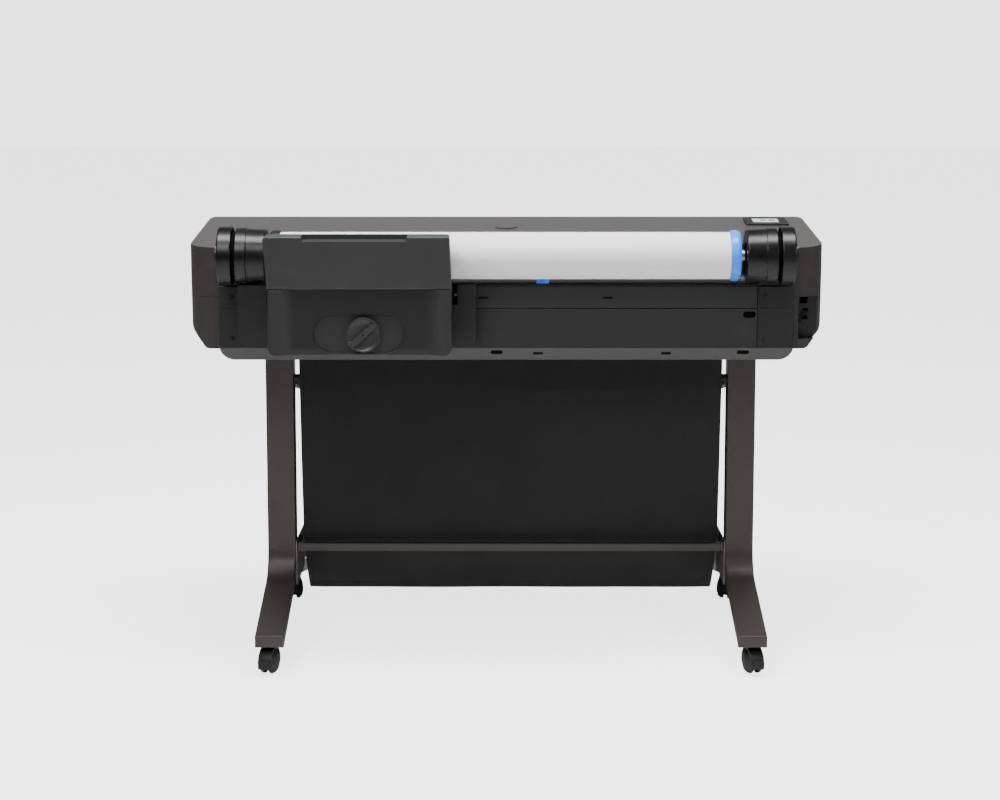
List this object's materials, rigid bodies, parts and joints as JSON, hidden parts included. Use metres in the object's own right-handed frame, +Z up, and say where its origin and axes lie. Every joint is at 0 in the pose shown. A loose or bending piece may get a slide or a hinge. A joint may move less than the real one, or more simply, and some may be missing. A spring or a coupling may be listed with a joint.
{
  "type": "large format plotter",
  "caption": "Large format plotter on a wheeled stand, with a paper roll in its rear recess, a sheet feeder with lock knob, and a fabric paper bin.",
  "frame": {"origin": "on the floor, at the centre of the footprint", "axes": "+X to the control panel end, +Y to the side where sheets leave, +Z up"},
  "size_m": [1.317, 0.6478, 0.925],
  "materials": {
    "brown_paint": "satin powder coat",
    "top_brown": "fine textured, satin",
    "dark_plastic": "fine textured",
    "band_plastic": "fine textured",
    "gloss_black": "gloss",
    "black_plastic": "satin",
    "blue_plastic": "satin",
    "paper": "uncoated",
    "card": "spiral wound",
    "fabric": "plain weave",
    "steel": "plated",
    "grey_metal": "satin",
    "rubber": "moulded",
    "screen_glass": "polished",
    "ink_black": "moulded",
    "ink_cyan": "moulded",
    "ink_magenta": "moulded",
    "ink_yellow": "moulded"
  },
  "bodies": {
    "root": {"base_pan": "band_plastic", "bin_fabric": "fabric", "bin_frame_front": "black_plastic", "bin_rod_rear": "black_plastic", "brace_clip_left": "black_plastic", "brace_clip_right": "black_plastic", "brace_plate_left": "grey_metal", "brace_plate_right": "grey_metal", "carriage_frame": "steel", "cartridge_1": "ink_black", "cartridge_2": "ink_cyan", "cartridge_3": "ink_magenta", "cartridge_4": "ink_yellow", "cross_brace": "brown_paint", "drum_left": "gloss_black", "drum_right": "gloss_black", "end_cover_left": "top_brown", "end_cover_right": "top_brown", "feeder_bracket_left": "black_plastic", "feeder_bracket_right": "black_plastic", "feeder_housing": "dark_plastic", "ink_bay": "black_plastic", "leg_left_front": "brown_paint", "leg_left_rear": "brown_paint", "leg_right_front": "brown_paint", "leg_right_rear": "brown_paint", "output_deck": "dark_plastic", "port_plate": "black_plastic", "power_inlet": "black_plastic", "rear_panel_lower": "dark_plastic", "rear_panel_upper": "dark_plastic", "roll_mount_left": "dark_plastic", "roll_mount_right": "dark_plastic", "roll_trough": "black_plastic", "service_station": "black_plastic", "side_panel_left": "dark_plastic", "side_panel_right": "dark_plastic", "touch_panel": "screen_glass", "width_tab": "blue_plastic"},
    "main_cover": {"main_cover": "top_brown"},
    "ink_door": {"ink_door": "dark_plastic"},
    "carriage": {"carriage": "black_plastic"},
    "feed_roller": {"feed_roller": "rubber"},
    "spindle": {"spindle": "steel", "hub_left": "black_plastic", "hub_right": "blue_plastic", "roll_core": "card", "paper_roll": "paper"},
    "pick_roller": {"pick_roller": "rubber"},
    "tray_cover": {"tray_cover": "dark_plastic"},
    "lock_knob": {"lock_knob": "dark_plastic"},
    "power_button": {"power_button": "gloss_black"},
    "swivel_left_rear": {"caster_hood_left_rear": "black_plastic"},
    "wheels_left_rear": {"caster_wheels_left_rear": "rubber"},
    "swivel_left_front": {"caster_hood_left_front": "black_plastic"},
    "wheels_left_front": {"caster_wheels_left_front": "rubber"},
    "swivel_right_rear": {"caster_hood_right_rear": "black_plastic"},
    "wheels_right_rear": {"caster_wheels_right_rear": "rubber"},
    "swivel_right_front": {"caster_hood_right_front": "black_plastic"},
    "wheels_right_front": {"caster_wheels_right_front": "rubber"}
  },
  "joints": [
    {"name": "main_cover_hinge", "type": "hinge", "parent": "root", "child": "main_cover", "pos_m": [0, -0.128, 0.87719], "axis": [1, 0, 0], "range_deg": [0, 60]},
    {"name": "ink_door_hinge", "type": "hinge", "parent": "root", "child": "ink_door", "pos_m": [0.532, 0.25, 0.6915], "axis": [-1, 0, 0], "range_deg": [0, 85]},
    {"name": "carriage_slide", "type": "slide", "parent": "root", "child": "carriage", "axis": [-1, 0, 0], "range_m": [0, 1.05]},
    {"name": "feed_roller_spin", "type": "hinge", "parent": "root", "child": "feed_roller", "pos_m": [0, -0.03, 0.778], "axis": [1, 0, 0], "continuous": true},
    {"name": "spindle_spin", "type": "hinge", "parent": "root", "child": "spindle", "pos_m": [0, -0.219, 0.865], "axis": [1, 0, 0], "continuous": true},
    {"name": "pick_roller_spin", "type": "hinge", "parent": "root", "child": "pick_roller", "pos_m": [-0.294, -0.22665, 0.759], "axis": [1, 0, 0], "continuous": true},
    {"name": "tray_cover_hinge", "type": "hinge", "parent": "root", "child": "tray_cover", "pos_m": [-0.294, -0.319, 0.8143], "axis": [1, 0, 0], "range_deg": [0, 90]},
    {"name": "lock_knob_turn", "type": "hinge", "parent": "root", "child": "lock_knob", "pos_m": [-0.2865, -0.324, 0.7175], "axis": [0, -1, 0], "range_deg": [0, 90]},
    {"name": "power_button_press", "type": "slide", "parent": "root", "child": "power_button", "axis": [0, -1, 0], "range_m": [0, 0.0015], "stiffness_N_per_m": 400},
    {"name": "swivel_left_rear_turn", "type": "hinge", "parent": "root", "child": "swivel_left_rear", "pos_m": [-0.4874, -0.249, 0.056], "axis": [0, 0, 1], "continuous": true},
    {"name": "wheels_left_rear_roll", "type": "hinge", "parent": "swivel_left_rear", "child": "wheels_left_rear", "pos_m": [-0.491, -0.26459, 0.025], "axis": [0.9744, -0.225, 0], "continuous": true},
    {"name": "swivel_left_front_turn", "type": "hinge", "parent": "root", "child": "swivel_left_front", "pos_m": [-0.4874, 0.269, 0.056], "axis": [0, 0, 1], "continuous": true},
    {"name": "wheels_left_front_roll", "type": "hinge", "parent": "swivel_left_front", "child": "wheels_left_front", "pos_m": [-0.491, 0.28459, 0.025], "axis": [-0.9744, -0.225, 0], "continuous": true},
    {"name": "swivel_right_rear_turn", "type": "hinge", "parent": "root", "child": "swivel_right_rear", "pos_m": [0.5066, -0.249, 0.056], "axis": [0, 0, 1], "continuous": true},
    {"name": "wheels_right_rear_roll", "type": "hinge", "parent": "swivel_right_rear", "child": "wheels_right_rear", "pos_m": [0.5102, -0.26459, 0.025], "axis": [0.9744, 0.225, 0], "continuous": true},
    {"name": "swivel_right_front_turn", "type": "hinge", "parent": "root", "child": "swivel_right_front", "pos_m": [0.5066, 0.269, 0.056], "axis": [0, 0, 1], "continuous": true},
    {"name": "wheels_right_front_roll", "type": "hinge", "parent": "swivel_right_front", "child": "wheels_right_front", "pos_m": [0.5102, 0.28459, 0.025], "axis": [-0.9744, 0.225, 0], "continuous": true}
  ]
}
